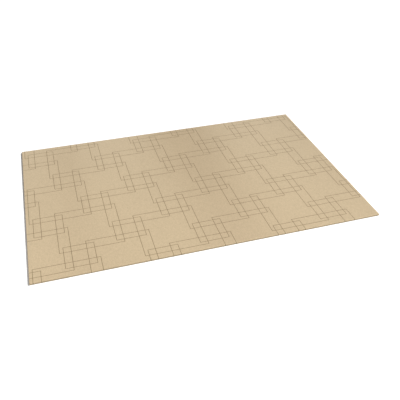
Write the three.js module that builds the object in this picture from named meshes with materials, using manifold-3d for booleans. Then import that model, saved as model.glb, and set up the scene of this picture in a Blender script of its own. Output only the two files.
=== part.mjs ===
// A desk pad: a greyboard panel wrapped in one sheet of kraft paper and lined on its underside.
// Millimetres, +Z up. X runs along the long side, Y away from the user, and Z = 0 is the desk.

import * as THREE from 'three';
import { mergeVertices } from 'three/addons/utils/BufferGeometryUtils.js';
import Module from 'manifold-3d';

const wasm = await Module();
wasm.setup();

// Driving dimensions
const PAD_LENGTH = 575; // over the wrapped edges
const PAD_DEPTH = 375; // over the wrapped edges
const BOARD_THICKNESS = 2.5;
const BOARD_EDGE_RADIUS = 0.6; // of the cut edge, pressed soft as the cover is folded over it
const FLAT_CORNER_RADIUS = 0.3; // of the flat's corner seen from above, inside the round of the edge
const COVER_THICKNESS = 0.2;
const COVER_GLUE_THICKNESS = 0.05;
const TURN_IN_WIDTH = 16; // from the pad's edge to the end of the cover folded onto the underside
const MITRE_GAP = 0.4; // between the slanted ends of two turn-ins that meet at a corner
const LINING_THICKNESS = 0.15;
const LINING_GLUE_THICKNESS = 0.05;
const LINING_SETBACK = 4; // from the pad's edge to the lining's edge
const LINING_RAMP = 1; // run over which the lining drops off the turn-ins onto the board

// Facets around a quarter turn
const EDGE_FACETS = 4;
const CORNER_FACETS = 6;

// Layers, counted up from the desk
const wrapThickness = COVER_GLUE_THICKNESS + COVER_THICKNESS;
const turnInBottom = LINING_THICKNESS + LINING_GLUE_THICKNESS;
const boardBottom = turnInBottom + wrapThickness;
const boardMiddle = boardBottom + BOARD_THICKNESS / 2;

// Outlines on the underside
const boardLength = PAD_LENGTH - 2 * wrapThickness;
const boardDepth = PAD_DEPTH - 2 * wrapThickness;
const boardCornerRadius = FLAT_CORNER_RADIUS + BOARD_EDGE_RADIUS;
const windowLength = PAD_LENGTH - 2 * TURN_IN_WIDTH;
const windowDepth = PAD_DEPTH - 2 * TURN_IN_WIDTH;
const liningLength = PAD_LENGTH - 2 * LINING_SETBACK;
const liningDepth = PAD_DEPTH - 2 * LINING_SETBACK;

// A closed solid from a geometry, and a geometry from a solid
function solidFrom(geometry) {
  geometry.deleteAttribute('normal');
  geometry.deleteAttribute('uv');
  const merged = mergeVertices(geometry);
  const vertProperties = new Float32Array(merged.attributes.position.array);
  const triVerts = new Uint32Array(merged.index.array);
  return new wasm.Manifold(new wasm.Mesh({ numProp: 3, vertProperties, triVerts }));
}

function geometryFrom(solid) {
  const mesh = solid.getMesh();
  const geometry = new THREE.BufferGeometry();
  geometry.setAttribute('position', new THREE.BufferAttribute(mesh.vertProperties, mesh.numProp));
  geometry.setIndex(new THREE.BufferAttribute(mesh.triVerts, 1));
  geometry.computeVertexNormals();
  return geometry;
}

// A rectangle centred on the origin with its corners rounded
function roundedRectangle(length, depth, radius) {
  const shape = new THREE.Shape();
  for (let quarter = 0; quarter < 4; quarter += 1) {
    const side = quarter === 0 || quarter === 3 ? 1 : -1;
    const end = quarter < 2 ? 1 : -1;
    const start = (quarter * Math.PI) / 2;
    shape.absarc(side * (length / 2 - radius), end * (depth / 2 - radius), radius, start, start + Math.PI / 2);
  }
  return shape;
}

// The board's own form, grown outward by the same distance on every side.
// The flat of the board stays as it is, and only the round of its edge grows.
function boardGrownBy(growth) {
  const flat = roundedRectangle(
    boardLength - 2 * BOARD_EDGE_RADIUS,
    boardDepth - 2 * BOARD_EDGE_RADIUS,
    FLAT_CORNER_RADIUS,
  );
  const straightSide = BOARD_THICKNESS - 2 * BOARD_EDGE_RADIUS;
  const slab = new THREE.ExtrudeGeometry(flat, {
    depth: straightSide,
    bevelSize: BOARD_EDGE_RADIUS + growth,
    bevelThickness: BOARD_EDGE_RADIUS + growth,
    bevelSegments: EDGE_FACETS,
    curveSegments: CORNER_FACETS,
  });
  slab.translate(0, 0, boardMiddle - straightSide / 2);
  return solidFrom(slab);
}

// A block centred on the Z axis between two heights, with its top drawn in all round if asked
function block(length, depth, bottom, top, drawnIn = 0) {
  const box = new THREE.BoxGeometry();
  const corners = box.attributes.position;
  for (let i = 0; i < corners.count; i += 1) {
    const isTop = corners.getZ(i) > 0;
    const inset = isTop ? drawnIn : 0;
    const x = Math.sign(corners.getX(i)) * (length / 2 - inset);
    const y = Math.sign(corners.getY(i)) * (depth / 2 - inset);
    corners.setXYZ(i, x, y, isTop ? top : bottom);
  }
  return solidFrom(box);
}

// What the wrap leaves bare on the underside: the middle, and a slit along each corner's mitre.
// A slit ends where the board's corner starts to turn, so the wrap stays closed round the corner.
function bareUnderside() {
  let bare = block(windowLength, windowDepth, 0, boardMiddle);
  const slitRun = TURN_IN_WIDTH - wrapThickness - boardCornerRadius;
  for (const side of [-1, 1]) {
    for (const end of [-1, 1]) {
      const slit = new THREE.BoxGeometry(2 * slitRun * Math.SQRT2, MITRE_GAP, boardMiddle);
      slit.rotateZ((side * end * Math.PI) / 4);
      slit.translate((side * windowLength) / 2, (end * windowDepth) / 2, boardMiddle / 2);
      bare = bare.add(solidFrom(slit));
    }
  }
  return bare;
}

// One layer of the wrap: over the top, round the edges and a little way in underneath
function wrapLayer(inner, outer) {
  return boardGrownBy(outer).subtract(boardGrownBy(inner)).subtract(bareUnderside());
}

// The raised middle of the lining's upper or lower face, standing on that face's border
function liningRise(border) {
  return block(windowLength, windowDepth, border, border + wrapThickness, LINING_RAMP);
}

function coreBoard() {
  return boardGrownBy(0);
}

function coverGlueFilm() {
  return wrapLayer(0, COVER_GLUE_THICKNESS);
}

function coverSheet() {
  return wrapLayer(COVER_GLUE_THICKNESS, wrapThickness);
}

// The lining lies on the turn-ins all round and sinks between them onto the board
function liningSheet() {
  const border = block(liningLength, liningDepth, 0, LINING_THICKNESS);
  return border.add(liningRise(LINING_THICKNESS)).subtract(liningRise(0));
}

// Its glue fills what is left between the lining, the turn-ins and the board
function liningGlueFilm() {
  const space = block(liningLength, liningDepth, LINING_THICKNESS, boardMiddle);
  const wrappedBoard = wrapLayer(0, wrapThickness).add(coreBoard());
  return space.subtract(wrappedBoard).subtract(liningRise(LINING_THICKNESS));
}

const pieces = [
  { name: 'core_board', solid: coreBoard(), color: 0x9a958b, roughness: 0.95 },
  { name: 'cover_glue_film', solid: coverGlueFilm(), color: 0xe4dcc8, roughness: 0.6 },
  { name: 'cover_sheet', solid: coverSheet(), color: 0xc5af8c, roughness: 0.25 },
  { name: 'lining_glue_film', solid: liningGlueFilm(), color: 0xe4dcc8, roughness: 0.6 },
  { name: 'lining_sheet', solid: liningSheet(), color: 0xb39b7a, roughness: 0.7 },
];

const deskPad = new THREE.Group();
for (const { name, solid, color, roughness } of pieces) {
  const material = new THREE.MeshStandardMaterial({ color, roughness, metalness: 0 });
  const mesh = new THREE.Mesh(geometryFrom(solid), material);
  mesh.name = name;
  deskPad.add(mesh);
}

export default deskPad;
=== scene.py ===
import math

import bmesh
import bpy
import numpy as np
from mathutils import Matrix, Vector


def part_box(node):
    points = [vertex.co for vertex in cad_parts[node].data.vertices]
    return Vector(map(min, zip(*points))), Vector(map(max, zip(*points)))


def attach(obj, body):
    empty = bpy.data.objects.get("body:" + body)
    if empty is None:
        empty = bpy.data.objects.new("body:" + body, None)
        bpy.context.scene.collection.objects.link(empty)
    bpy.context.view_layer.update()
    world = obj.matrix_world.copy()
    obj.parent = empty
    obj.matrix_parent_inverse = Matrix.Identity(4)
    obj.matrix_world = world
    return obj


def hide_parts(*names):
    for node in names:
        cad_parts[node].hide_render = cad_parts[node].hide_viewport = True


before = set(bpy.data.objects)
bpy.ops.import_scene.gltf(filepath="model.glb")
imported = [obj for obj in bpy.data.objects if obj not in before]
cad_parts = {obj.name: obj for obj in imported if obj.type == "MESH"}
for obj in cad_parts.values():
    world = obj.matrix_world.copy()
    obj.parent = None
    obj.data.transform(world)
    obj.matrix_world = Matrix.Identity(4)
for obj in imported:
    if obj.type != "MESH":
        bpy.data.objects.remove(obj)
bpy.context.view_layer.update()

# Sizes in metres. The outer form comes from the frame, the folds repeat the sizes of the solids.
COVER_LOW, COVER_HIGH = (np.array(corner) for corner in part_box("cover_sheet"))
LINING_HIGH = np.array(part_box("lining_sheet")[1])
PAPER_THICKNESS = COVER_HIGH[2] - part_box("cover_glue_film")[1][2]
HALF_LENGTH, HALF_DEPTH, TOP = COVER_HIGH
TURN_IN_FACE = COVER_LOW[2]
EDGE_RADIUS = 0.00085
FLAT_CORNER_RADIUS = 0.0003
TURN_IN_WIDTH = 0.016
MITRE_GAP = 0.0004
CORNER_RADIUS = FLAT_CORNER_RADIUS + EDGE_RADIUS
QUARTER_TURN = EDGE_RADIUS * math.pi / 2
WALL_HEIGHT = TOP - TURN_IN_FACE - 2 * EDGE_RADIUS
FLAT_HALF = np.array([HALF_LENGTH, HALF_DEPTH]) - EDGE_RADIUS

# The seam at each corner: its depth, and its width as a share of the turn round the corner
SEAM_DEPTH = 0.00007
SEAM_SPAN = 0.07

# Rubbing of the cover: its reach from the fold and from a corner, its strength away from the corners,
# the span of the mottle over which it sets in, how much it pales the paper and how much it roughens it
WEAR_REACH = 0.0009
WEAR_CORNER_REACH = 0.012
WEAR_ALONG_EDGES = 0.45
WEAR_MOTTLE_SPAN = (0.3, 0.6)
WEAR_PALENESS = 0.5
WEAR_ROUGHNESS = 0.7

# The cover's grid: the border round the flat middle of the top, the points along each stretch, and how
# near points of two stretches are merged
TOP_BORDER = 0.02
LENGTH_POINTS = 73
DEPTH_POINTS = 49
BORDER_POINTS = 9
FOLD_POINTS = 8
WALL_POINTS = 5
TURN_IN_POINTS = 7
CORNER_POINTS = 33
MERGE_DISTANCE = 1e-7

# The print: large and small squares laid round each other as in hopscotch paving
SMALL_SQUARE = 0.042
LARGE_SQUARE = 2 * SMALL_SQUARE
LARGE_OVERLAP = 0.009
SMALL_OVERLAP = 0.003
LAYOUT_CENTRE = np.array([0.021, 0.0])
LAYOUT_STEPS = 12
LINE_WIDTH = 0.00065
PRINT_MARGIN = 0.0015

# The ink: how far it sinks into the paper, how far lines along the length and the depth stand proud of
# it, the points of a line over a fold, and the angle in degrees past which its edges stay sharp
INK_DEPTH = 0.00001
INK_HEIGHTS = (0.00002, 0.000026)
INK_FOLD_POINTS = 33
INK_SHARP_ANGLE = 40

# Colours, linear
KRAFT = (0.56, 0.436, 0.284)
INK = (0.16, 0.108, 0.050)
GREYBOARD = (0.32, 0.30, 0.26)
BOARD_DARK = (0.12, 0.11, 0.10)
BOARD_PALE = (0.60, 0.58, 0.52)
DRIED_GLUE = (0.77, 0.72, 0.58)
LINING_KRAFT = (0.45, 0.33, 0.195)
DARK_SHARE = 0.45  # of a paper's own colour in its dark specks
PALE_SHARE = 1.22  # of a paper's own colour in its pale fibres and where it is rubbed

# The papers' roughness in smooth and felted spots, the strength of their gloss and its tint
COVER_ROUGHNESS = (0.18, 0.24)
COVER_GLOSS = 0.75
LINING_ROUGHNESS = (0.6, 0.8)
LINING_GLOSS = 0.4
GLOSS_TINT = (1, 0.86, 0.45)

# The same of the ink, the board and the glue's smooth and dull streaks
INK_ROUGHNESS = 0.6
INK_GLOSS = 0.2
BOARD_ROUGHNESS = 0.95
GLUE_ROUGHNESS = (0.4, 0.7)

# Kraft paper's grain: size of the spots, detail, stretch along the web, and how far it shifts the tone
KRAFT_GRAIN = {
    "cloud": (0.06, 2.0, 2.5, 0.08),
    "mottle": (0.0022, 3.0, 1.4, 0.24),
    "felt": (0.0007, 3.0, 2.2, 0.2),
    "fibre": (0.00035, 2.0, 9, 0.25),
}

# Specks strewn over the paper and the board: size, stretch, strength, threshold of their grain, directions
DARK_SPECKS = (0.0006, 4, 0.3, 0.71, (0.5, -0.7, 1.4))
PALE_FIBRES = (0.0005, 7, 0.4, 0.70, (0.2, -0.4))
DARK_SCRAPS = (0.0008, 3, 0.5, 0.68, (0.8,))
PALE_SCRAPS = (0.0008, 3, 0.5, 0.69, (-0.5,))
SPECK_SOFTNESS = 0.04

# The camera, found from the pad's four corners in the photo: lens in pixels, angles in degrees
SENSOR_WIDTH = 36
FRAME_PIXELS = 400
CAMERA_FOCAL_PIXELS = 510.8
CAMERA_SHIFT = 0.0249
CAMERA_PLACE = (-0.2088, -0.7447, 0.5428)
CAMERA_PITCH = 37.11
CAMERA_TURN = 16.26

# The stage: the table's reach, how white it is and is seen to be, and the lights, spread in degrees
TABLE_HALF = 4.0
TABLE_WHITE = 0.92
TABLE_SEEN = 1.2
KEY_PLACE = (1.55, 0, 1.5)
KEY_SPREAD = 9
KEY_LEVEL = 3.46
FRONT_PLACE = (0, -0.3, 0.5)
FRONT_SIZE = (1.6, 0.3)
FRONT_LEVEL = 1.3
ROOM_LEVEL = 0.14

# The black cards overhead that show in the paper's sheen: reach in y, and in x at the near and far ends
CARD_HEIGHT = 1.2
CARD_REACH = (0.7, 2.9)
CARDS = {
    "left_card": ((-0.26, -0.19), (-0.235, -0.125)),
    "middle_card": ((0.5, 0.71), (0.31, 0.84)),
    "right_card": ((1.47, 1.9), (1.47, 1.9)),
}


# Meshes

def grid_quads(rows, columns):
    """Quads of a grid of points numbered row by row, facing up where columns run to x and rows to y."""
    first = (np.arange(rows - 1)[:, None] * columns + np.arange(columns - 1)).reshape(-1, 1)
    return first + np.array([0, 1, columns + 1, columns])


def joined(parts):
    """One array of points and one of faces from several, each part's faces counted on from the last."""
    starts = np.cumsum([0] + [len(points) for points, _ in parts[:-1]])
    points = np.concatenate([part[0] for part in parts])
    faces = np.concatenate([part[1] + start for part, start in zip(parts, starts)])
    return points, faces


def new_piece(name, points, faces, material):
    """A smooth-shaded mesh object at the origin from an array of points and an array of quads."""
    mesh = bpy.data.meshes.new(name)
    mesh.vertices.add(len(points))
    mesh.vertices.foreach_set("co", points.astype(np.float32).ravel())
    mesh.loops.add(faces.size)
    mesh.loops.foreach_set("vertex_index", faces.astype(np.int32).ravel())
    mesh.polygons.add(len(faces))
    mesh.polygons.foreach_set("loop_start", np.arange(0, faces.size, 4, dtype=np.int32))
    mesh.update(calc_edges=True)
    mesh.polygons.foreach_set("use_smooth", np.full(len(faces), True))
    mesh.materials.append(material)
    piece = bpy.data.objects.new(name, mesh)
    bpy.context.scene.collection.objects.link(piece)
    return piece


# The wrapped cover

def wrap_path(distance):
    """Where paper lands once it is folded round the edge.

    distance is measured over the paper from the edge of the flat top, negative on the top. A quarter
    circle turns it down, a straight wall follows, a second quarter circle turns it under, and the rest
    runs back in. Gives how far outward of the flat's edge it lies, its height, and the outward and upward
    parts of its normal.
    """
    upper = np.clip(distance / EDGE_RADIUS, 0, math.pi / 2)
    lower = np.clip((distance - QUARTER_TURN - WALL_HEIGHT) / EDGE_RADIUS, 0, math.pi / 2)
    turned = upper + lower
    on_top = np.minimum(distance, 0)
    down = np.clip(distance - QUARTER_TURN, 0, WALL_HEIGHT)
    under = np.maximum(distance - 2 * QUARTER_TURN - WALL_HEIGHT, 0)
    outward = on_top + EDGE_RADIUS * np.sin(turned) - under
    height = TOP - EDGE_RADIUS * (1 - np.cos(upper)) - down - EDGE_RADIUS * np.sin(lower)
    return outward, height, np.sin(turned), np.cos(turned)


def wrap_strip(along, across, normals, distance, opening, seam):
    """A stretch of the wrap: the folded profile carried along one side or round one corner.

    along and across are shares of the half length and half depth, from -1 to 1, and normals the
    directions outward. At each distance over the fold the outline is drawn in by its inset, its corners
    keep what is left of their radius, and opening shortens the side to leave the slit at the mitre. seam
    is how far each point is sunk in along the paper's normal. Gives the points, the faces and the place
    of each point on the flat sheet.
    """
    outward, height, normal_out, normal_up = (values[:, None] for values in wrap_path(distance))
    inset = EDGE_RADIUS - outward
    radius = np.maximum(CORNER_RADIUS - inset, 0)
    half_x = HALF_LENGTH - inset - radius - np.where(normals[0] == 0, opening[:, None], 0)
    half_y = HALF_DEPTH - inset - radius - np.where(normals[1] == 0, opening[:, None], 0)
    x = along * half_x + normals[0] * (radius - seam * normal_out)
    y = across * half_y + normals[1] * (radius - seam * normal_out)
    z = height - seam * normal_up + 0 * x
    flat = FLAT_CORNER_RADIUS + distance[:, None]
    flat_x = along * (HALF_LENGTH - CORNER_RADIUS) + normals[0] * flat
    flat_y = across * (HALF_DEPTH - CORNER_RADIUS) + normals[1] * flat
    sheet_x = np.where(normals[0] == 0, x, flat_x)
    sheet_y = np.where(normals[1] == 0, y, flat_y)
    points = np.stack([x, y, z], -1).reshape(-1, 3)
    sheet = np.stack([sheet_x, sheet_y, 0 * x], -1).reshape(-1, 3)
    return points, grid_quads(len(distance), x.shape[1])[:, ::-1], sheet


def edge_wear(points):
    """How rubbed the paper is, from 0 to 1: a bell curve over the distance from the upper fold, and along
    the fold a part that is the same all over and a part that falls off exponentially from the corners."""
    inset_x = HALF_LENGTH - np.abs(points[:, 0])
    inset_y = HALF_DEPTH - np.abs(points[:, 1])
    from_edge = np.minimum(inset_x, inset_y) + np.maximum(TOP - EDGE_RADIUS - points[:, 2], 0)
    from_corner = np.maximum(inset_x, inset_y)
    near_fold = np.exp(-(from_edge / WEAR_REACH) ** 2)
    near_corner = np.exp(-from_corner / WEAR_CORNER_REACH)
    return near_fold * (WEAR_ALONG_EDGES + (1 - WEAR_ALONG_EDGES) * near_corner)


def wrapped_cover(material):
    """The cover sheet: a flat grid in the middle of the top, and round it the profile of the fold carried
    along four sides and round four corners, down the edge and under to the end of the turn-ins."""
    along_length = np.linspace(-1, 1, LENGTH_POINTS)
    along_depth = np.linspace(-1, 1, DEPTH_POINTS)
    x, y = np.meshgrid(along_length * (HALF_LENGTH - TOP_BORDER), along_depth * (HALF_DEPTH - TOP_BORDER))
    middle = np.stack([x, y, np.full_like(x, TOP)], -1).reshape(-1, 3)
    parts = [(middle, grid_quads(len(along_depth), len(along_length)), middle * (1, 1, 0))]

    # Stops over the fold, from the border of the top to the end of the turn-in
    wall_end = QUARTER_TURN + WALL_HEIGHT
    under = wall_end + QUARTER_TURN
    corner_end = under + FLAT_CORNER_RADIUS
    turn = np.concatenate([
        [-FLAT_CORNER_RADIUS],
        np.linspace(0, QUARTER_TURN, FOLD_POINTS),
        np.linspace(QUARTER_TURN, wall_end, WALL_POINTS)[1:],
        np.linspace(wall_end, under, FOLD_POINTS)[1:],
        [corner_end],
    ])
    top = EDGE_RADIUS - np.linspace(TOP_BORDER, CORNER_RADIUS, BORDER_POINTS)[:-1]
    turn_in_end = under + TURN_IN_WIDTH - EDGE_RADIUS
    turn_in = np.linspace(corner_end + MITRE_GAP, turn_in_end, TURN_IN_POINTS)
    whole = np.concatenate([top, turn, turn_in])
    slit = np.where(whole > corner_end, MITRE_GAP / math.sqrt(2), 0)
    no_slit = np.zeros_like(turn)

    # Where two turn-ins meet, their seam comes round from under the corner and dies out at the top
    round_corner = np.linspace(0, 1, CORNER_POINTS)
    climb = np.clip((turn - QUARTER_TURN / 3) / QUARTER_TURN, 0, 1) * (turn < corner_end)
    seam = SEAM_DEPTH * climb[:, None] * np.exp(-((round_corner - 0.5) / SEAM_SPAN) ** 2)

    for side in (-1, 1):
        level = np.full_like(along_length, side)
        parts.append(wrap_strip(-side * along_length, level, (0 * level, level), whole, slit, 0))
        level = np.full_like(along_depth, side)
        parts.append(wrap_strip(level, side * along_depth, (level, 0 * level), whole, slit, 0))
    for corner_x, corner_y, start in ((1, 1, 0), (-1, 1, 1), (-1, -1, 2), (1, -1, 3)):
        angle = (start + round_corner) * math.pi / 2
        level = np.ones_like(angle)
        normals = (np.cos(angle), np.sin(angle))
        parts.append(wrap_strip(corner_x * level, corner_y * level, normals, turn, no_slit, seam))

    points, faces = joined([part[:2] for part in parts])
    piece = new_piece("wrapped_cover", points, faces, material)
    sheet_places = np.concatenate([part[2] for part in parts])
    sheet = piece.data.attributes.new("sheet", "FLOAT_VECTOR", "POINT")
    sheet.data.foreach_set("vector", sheet_places.astype(np.float32).ravel())
    wear = piece.data.attributes.new("wear", "FLOAT", "POINT")
    wear.data.foreach_set("value", edge_wear(points).astype(np.float32))

    # The stretches are merged into one sheet before it gets its thickness inward
    shell = bmesh.new()
    shell.from_mesh(piece.data)
    bmesh.ops.remove_doubles(shell, verts=shell.verts, dist=MERGE_DISTANCE)
    bmesh.ops.recalc_face_normals(shell, faces=shell.faces)
    shell.to_mesh(piece.data)
    shell.free()
    paper = piece.modifiers.new("paper", "SOLIDIFY")
    paper.thickness = PAPER_THICKNESS
    paper.offset = -1
    return piece


# The printed lines

def hopscotch_squares():
    """Lower and upper corners of the printed squares. Step i, j of the layout moves by
    (i a - j b, i b + j a), with a and b the sides of the large and the small square, and each outline
    reaches over its neighbours."""
    steps = np.arange(-LAYOUT_STEPS, LAYOUT_STEPS + 1)
    i, j = (n.ravel() for n in np.meshgrid(steps, steps))
    step_x = i * LARGE_SQUARE - j * SMALL_SQUARE
    step_y = i * SMALL_SQUARE + j * LARGE_SQUARE
    large = np.stack([step_x, step_y], -1) + LAYOUT_CENTRE
    small = large + np.array([LARGE_SQUARE, 0])
    low = np.concatenate([large - LARGE_OVERLAP, small - SMALL_OVERLAP])
    large_high = large + LARGE_SQUARE + LARGE_OVERLAP
    small_high = small + SMALL_SQUARE + SMALL_OVERLAP
    return low, np.concatenate([large_high, small_high])


def printed_lines(axis):
    """Every side of the squares that runs along one axis: its place across, its start and its end."""
    low, high = hopscotch_squares()
    across = np.concatenate([low[:, 1 - axis], high[:, 1 - axis]])
    start = np.tile(low[:, axis], 2) - LINE_WIDTH / 2
    end = np.tile(high[:, axis], 2) + LINE_WIDTH / 2
    reach = FLAT_HALF[axis] + print_end(axis)
    start = np.maximum(start, -reach)
    end = np.minimum(end, reach)
    shown = (np.abs(across) < FLAT_HALF[1 - axis] - PRINT_MARGIN) & (end - start > LINE_WIDTH)
    return np.stack([across, start, end], -1)[shown]


def print_end(axis):
    """How far over the fold the print shows: round the edge and under it as far as the lining."""
    under = HALF_LENGTH - LINING_HIGH[0] if axis == 0 else HALF_DEPTH - LINING_HIGH[1]
    return 2 * QUARTER_TURN + WALL_HEIGHT + under - EDGE_RADIUS


def ink_ribbon(axis, line, height):
    """One printed line: a flat rectangular section carried along the paper, round the edge where it gets
    there. A point of the section is the folded path, moved across by half the width and out along the
    paper's normal."""
    across, start, end = line
    folds = FLAT_HALF[axis] + np.linspace(0, print_end(axis), INK_FOLD_POINTS)
    stops = np.concatenate([-folds[::-1], folds])
    stops = np.concatenate([[start], stops[(stops > start) & (stops < end)], [end]])
    outward, level, normal_out, normal_up = wrap_path(np.abs(stops) - FLAT_HALF[axis])
    side = np.sign(stops)
    run = side * (FLAT_HALF[axis] + outward)
    offsets = np.array([[-0.5, -INK_DEPTH], [0.5, -INK_DEPTH], [0.5, height], [-0.5, height]])
    lift = offsets[:, 1]
    points = np.empty((len(stops), 4, 3))
    points[:, :, axis] = run[:, None] + (side * normal_out)[:, None] * lift
    points[:, :, 1 - axis] = across + offsets[:, 0] * LINE_WIDTH
    points[:, :, 2] = level[:, None] + normal_up[:, None] * lift
    ring = np.array([0, 1, 2, 3])
    begin = (np.arange(len(stops) - 1) * 4)[:, None, None]
    ends = np.stack([ring, np.roll(ring, -1), np.roll(ring, -1) + 4, ring + 4], -1)
    walls = (begin + ends).reshape(-1, 4)
    caps = np.array([ring[::-1], ring + 4 * (len(stops) - 1)])
    faces = np.concatenate([walls, caps])
    return points.reshape(-1, 3), faces[:, ::-1] if axis == 1 else faces


def line_print(material):
    """All the printed lines in one piece. Where they cross, those along the depth lie over the others."""
    parts = []
    for axis, height in zip((0, 1), INK_HEIGHTS):
        parts += [ink_ribbon(axis, line, height) for line in printed_lines(axis)]
    points, faces = joined(parts)
    piece = new_piece("line_print", points, faces, material)
    piece.data.set_sharp_from_angle(angle=math.radians(INK_SHARP_ANGLE))
    return piece


# Materials

def new_material(name):
    """A material with a bare Principled shader: its node tree and that shader."""
    material = bpy.data.materials.new(name)
    material.use_nodes = True
    return material, material.node_tree, material.node_tree.nodes["Principled BSDF"]


def add(tree, kind, inputs, **settings):
    """A node with its settings, each of its inputs set to a value or linked to another node's output."""
    made = tree.nodes.new(kind)
    for name, value in settings.items():
        setattr(made, name, value)
    for name, value in inputs.items():
        if isinstance(value, bpy.types.NodeSocket):
            tree.links.new(value, made.inputs[name])
        else:
            made.inputs[name].default_value = value
    return made


def maths(tree, operation, first, second, third=0.0):
    """The result of one Math node."""
    inputs = {0: first, 1: second, 2: third}
    return add(tree, "ShaderNodeMath", inputs, operation=operation).outputs[0]


def object_place(tree):
    """The point's place on the object."""
    return tree.nodes.new("ShaderNodeTexCoord").outputs["Object"]


def attribute(tree, name, output):
    """A value carried by the piece's own points."""
    return add(tree, "ShaderNodeAttribute", {}, attribute_name=name).outputs[output]


def grain(tree, place, size, detail=2.0, stretch=(1, 1, 1), turn=0.0):
    """Noise from 0 to 1 whose spots are about size across, turned, and drawn out along the axes."""
    scale = tuple(1 / (size * s) for s in stretch)
    turned = add(tree, "ShaderNodeMapping", {"Vector": place, "Rotation": (0, 0, turn)}).outputs[0]
    between_lattice_planes = (0, 0, 0.5)
    inputs = {"Vector": turned, "Scale": scale, "Location": between_lattice_planes}
    spread = add(tree, "ShaderNodeMapping", inputs).outputs[0]
    inputs = {"Vector": spread, "Scale": 1.0, "Detail": detail}
    return add(tree, "ShaderNodeTexNoise", inputs).outputs[0]


def from_to(tree, value, start, end, low=0.0, high=1.0):
    """value brought from the span start to end onto the span low to high, and held there."""
    inputs = {"Value": value, "From Min": start, "From Max": end, "To Min": low, "To Max": high}
    return add(tree, "ShaderNodeMapRange", inputs).outputs[0]


def tinted(tree, colour, parts):
    """colour times one plus the sum of each part's amount times how far it lies from 0.5."""
    factor = 1.0
    for value, amount in parts:
        centred = maths(tree, "SUBTRACT", value, 0.5)
        factor = maths(tree, "MULTIPLY_ADD", centred, amount, factor)
    inputs = {"Vector": colour, "Scale": factor}
    return add(tree, "ShaderNodeVectorMath", inputs, operation="SCALE").outputs[0]


def over(tree, mask, amount, colour, base):
    """base with colour laid over it where mask is 1, as strongly as amount.
    In a mix of colours, inputs 6 and 7 are the two colours and output 2 is what comes out."""
    share = maths(tree, "MULTIPLY", mask, amount)
    inputs = {0: share, 6: base, 7: (*colour, 1)}
    return add(tree, "ShaderNodeMix", inputs, data_type="RGBA").outputs[2]


def strewn(tree, place, base, colour, size, stretch, amount, threshold, turns):
    """base strewn with specks of a colour that lie in the directions turns. A speck is a peak of a
    drawn-out grain above a threshold."""
    for turn in turns:
        peaks = grain(tree, place, size, 1.0, (1, stretch, 1), turn)
        mask = from_to(tree, peaks, threshold, threshold + SPECK_SOFTNESS)
        base = over(tree, mask, amount, colour, base)
    return base


def kraft_paper(name, colour, roughness, gloss, wrapped):
    """Kraft paper: cloudy tone, fibres along the web, dark and pale specks and a felted surface.

    A wrapped sheet reads its place on the flat sheet, so its grain runs on round the folds, and its
    rubbed edges are paler and more matt.
    """
    material, tree, shader = new_material(name)
    place = attribute(tree, "sheet", "Vector") if wrapped else object_place(tree)
    grains = {}
    shifts = []
    for kind, (size, detail, stretch, amount) in KRAFT_GRAIN.items():
        grains[kind] = grain(tree, place, size, detail, (1, stretch, 1))
        shifts.append((grains[kind], amount))
    tone = tinted(tree, colour, shifts)

    dark = tuple(DARK_SHARE * c for c in colour)
    pale = tuple(PALE_SHARE * c for c in colour)
    tone = strewn(tree, place, tone, dark, *DARK_SPECKS)
    tone = strewn(tree, place, tone, pale, *PALE_FIBRES)

    rough = from_to(tree, grains["felt"], 0, 1, *roughness)
    if wrapped:
        wear = attribute(tree, "wear", "Fac")
        rubbed = maths(tree, "MULTIPLY", wear, from_to(tree, grains["mottle"], *WEAR_MOTTLE_SPAN))
        tone = over(tree, rubbed, WEAR_PALENESS, pale, tone)
        rough = maths(tree, "MULTIPLY_ADD", wear, WEAR_ROUGHNESS, rough)
    tree.links.new(tone, shader.inputs["Base Color"])
    tree.links.new(rough, shader.inputs["Roughness"])
    shader.inputs["Specular IOR Level"].default_value = gloss
    shader.inputs["Specular Tint"].default_value = (*GLOSS_TINT, 1)
    relief = maths(tree, "ADD", grains["felt"], grains["fibre"])
    bump = add(tree, "ShaderNodeBump", {"Height": relief, "Strength": 0.3, "Distance": 0.00005})
    tree.links.new(bump.outputs[0], shader.inputs["Normal"])
    return material


def printing_ink():
    """Thin brown ink sunk into the paper, a little uneven where the fibres take less of it."""
    material, tree, shader = new_material("printing_ink")
    place = object_place(tree)
    fibre = grain(tree, place, size=0.0004, stretch=(1, 5, 1))
    patch = grain(tree, place, size=0.012)
    tone = tinted(tree, INK, [(fibre, 0.6), (patch, 0.5)])
    tree.links.new(tone, shader.inputs["Base Color"])
    shader.inputs["Roughness"].default_value = INK_ROUGHNESS
    shader.inputs["Specular IOR Level"].default_value = INK_GLOSS
    return material


def greyboard():
    """Pressed waste-paper board: coarsely mottled grey, pale and dark scraps of fibre, a rough surface."""
    material, tree, shader = new_material("greyboard")
    place = object_place(tree)
    mottle = grain(tree, place, size=0.003, detail=4.0)
    fibre = grain(tree, place, size=0.0005, stretch=(1, 5, 1), turn=0.4)
    tone = tinted(tree, GREYBOARD, [(mottle, 0.3), (fibre, 0.3)])
    tone = strewn(tree, place, tone, BOARD_DARK, *DARK_SCRAPS)
    tone = strewn(tree, place, tone, BOARD_PALE, *PALE_SCRAPS)
    tree.links.new(tone, shader.inputs["Base Color"])
    shader.inputs["Roughness"].default_value = BOARD_ROUGHNESS
    bump = add(tree, "ShaderNodeBump", {"Height": mottle, "Strength": 0.5, "Distance": 0.0001})
    tree.links.new(bump.outputs[0], shader.inputs["Normal"])
    return material


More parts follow.
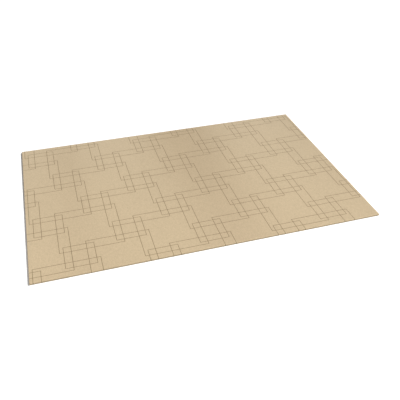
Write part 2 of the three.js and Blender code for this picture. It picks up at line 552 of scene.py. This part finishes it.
def dried_glue():
    """Brushed paste dried to a thin skin: streaked along the brush, faintly yellow, half glossy."""
    material, tree, shader = new_material("dried_glue")
    streak = grain(tree, object_place(tree), size=0.0012, stretch=(14, 1, 1))
    tone = tinted(tree, DRIED_GLUE, [(streak, 0.25)])
    tree.links.new(tone, shader.inputs["Base Color"])
    rough = from_to(tree, streak, 0, 1, *GLUE_ROUGHNESS)
    tree.links.new(rough, shader.inputs["Roughness"])
    return material


# The object

def dress_node(node, material):
    """Gives a carried-over solid its material."""
    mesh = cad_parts[node].data
    mesh.materials.clear()
    mesh.materials.append(material)


printed_kraft = kraft_paper("printed_kraft", KRAFT, COVER_ROUGHNESS, COVER_GLOSS, True)
lining_kraft = kraft_paper("lining_kraft", LINING_KRAFT, LINING_ROUGHNESS, LINING_GLOSS, False)

cover = wrapped_cover(printed_kraft)
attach(cover, "root")
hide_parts("cover_sheet")

lines = line_print(printing_ink())
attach(lines, "root")

glue = dried_glue()
dress_node("core_board", greyboard())
dress_node("cover_glue_film", glue)
dress_node("lining_glue_film", glue)
dress_node("lining_sheet", lining_kraft)


# The stage

def looked_at(tree):
    """1 for what the camera sees straight, in a gloss or through glass, and 0 for light cast on things."""
    path = tree.nodes.new("ShaderNodeLightPath").outputs
    mirrored = maths(tree, "MAXIMUM", path["Is Glossy Ray"], path["Is Transmission Ray"])
    return maths(tree, "MAXIMUM", path["Is Camera Ray"], mirrored)


def floor():
    """A wide table top in matt white paint, seen whitened so that it fades into the room."""
    material = bpy.data.materials.new("white_table")
    material.use_nodes = True
    tree = material.node_tree
    tree.nodes.remove(tree.nodes["Principled BSDF"])
    level = maths(tree, "MULTIPLY_ADD", looked_at(tree), TABLE_SEEN - TABLE_WHITE, TABLE_WHITE)
    paint = add(tree, "ShaderNodeBsdfDiffuse", {"Color": level})
    tree.links.new(paint.outputs[0], tree.nodes["Material Output"].inputs["Surface"])
    corners = TABLE_HALF * np.array([[-1, -1, 0], [1, -1, 0], [1, 1, 0], [-1, 1, 0]])
    table = new_piece("table_top", corners, np.array([[0, 1, 2, 3]]), material)


def aimed_lamp(name, kind, place, target, power):
    """A lamp of one kind that faces a point of the table."""
    lamp = bpy.data.objects.new(name, bpy.data.lights.new(name, kind))
    lamp.location = place
    gaze = Vector(target) - Vector(place)
    lamp.rotation_euler = gaze.to_track_quat("-Z", "Y").to_euler()
    lamp.data.energy = power
    bpy.context.scene.collection.objects.link(lamp)
    return lamp


def studio_lights():
    """A broad light from the right, and a long soft box straight over the front."""
    key = aimed_lamp("key_light", "SUN", KEY_PLACE, (0, 0, 0), KEY_LEVEL)
    key.data.angle = math.radians(KEY_SPREAD)
    front = aimed_lamp("front_light", "AREA", FRONT_PLACE, (*FRONT_PLACE[:2], 0), FRONT_LEVEL)
    front.data.shape = "RECTANGLE"
    front.data.size, front.data.size_y = FRONT_SIZE


def black_cards():
    """Cards hung side by side over the table. They show only in the paper's sheen, as soft dark bands."""
    material, _, shader = new_material("black_card")
    shader.inputs["Base Color"].default_value = (0, 0, 0, 1)
    shader.inputs["Specular IOR Level"].default_value = 0
    near_y, far_y = CARD_REACH
    for name, (near, far) in CARDS.items():
        outline = [(near[0], near_y), (far[0], far_y), (far[1], far_y), (near[1], near_y)]
        corners = np.array([(x, y, CARD_HEIGHT) for x, y in outline])
        card = new_piece(name, corners, np.array([[0, 1, 2, 3]]), material)
        card.visible_camera = False
        card.visible_diffuse = False
        card.visible_shadow = False


def surroundings():
    """An even room, dim as a source of light and seen as pure white."""
    world = bpy.data.worlds.new("white_room")
    world.use_nodes = True
    tree = world.node_tree
    level = maths(tree, "MULTIPLY_ADD", looked_at(tree), 1 - ROOM_LEVEL, ROOM_LEVEL)
    background = tree.nodes["Background"]
    background.inputs["Color"].default_value = (1, 1, 1, 1)
    tree.links.new(level, background.inputs["Strength"])
    bpy.context.scene.world = world


def camera():
    """The photograph's view: from the front left, looking down, with the frame shifted a little."""
    lens = bpy.data.cameras.new("camera")
    lens.sensor_width = SENSOR_WIDTH
    lens.lens = SENSOR_WIDTH * CAMERA_FOCAL_PIXELS / FRAME_PIXELS
    lens.shift_x = CAMERA_SHIFT
    view = bpy.data.objects.new("camera", lens)
    view.location = CAMERA_PLACE
    view.rotation_euler = (math.pi / 2 - math.radians(CAMERA_PITCH), 0, -math.radians(CAMERA_TURN))
    bpy.context.scene.collection.objects.link(view)
    bpy.context.scene.camera = view


floor()
studio_lights()
black_cards()
surroundings()
camera()
bpy.context.scene.view_settings.view_transform = "Standard"
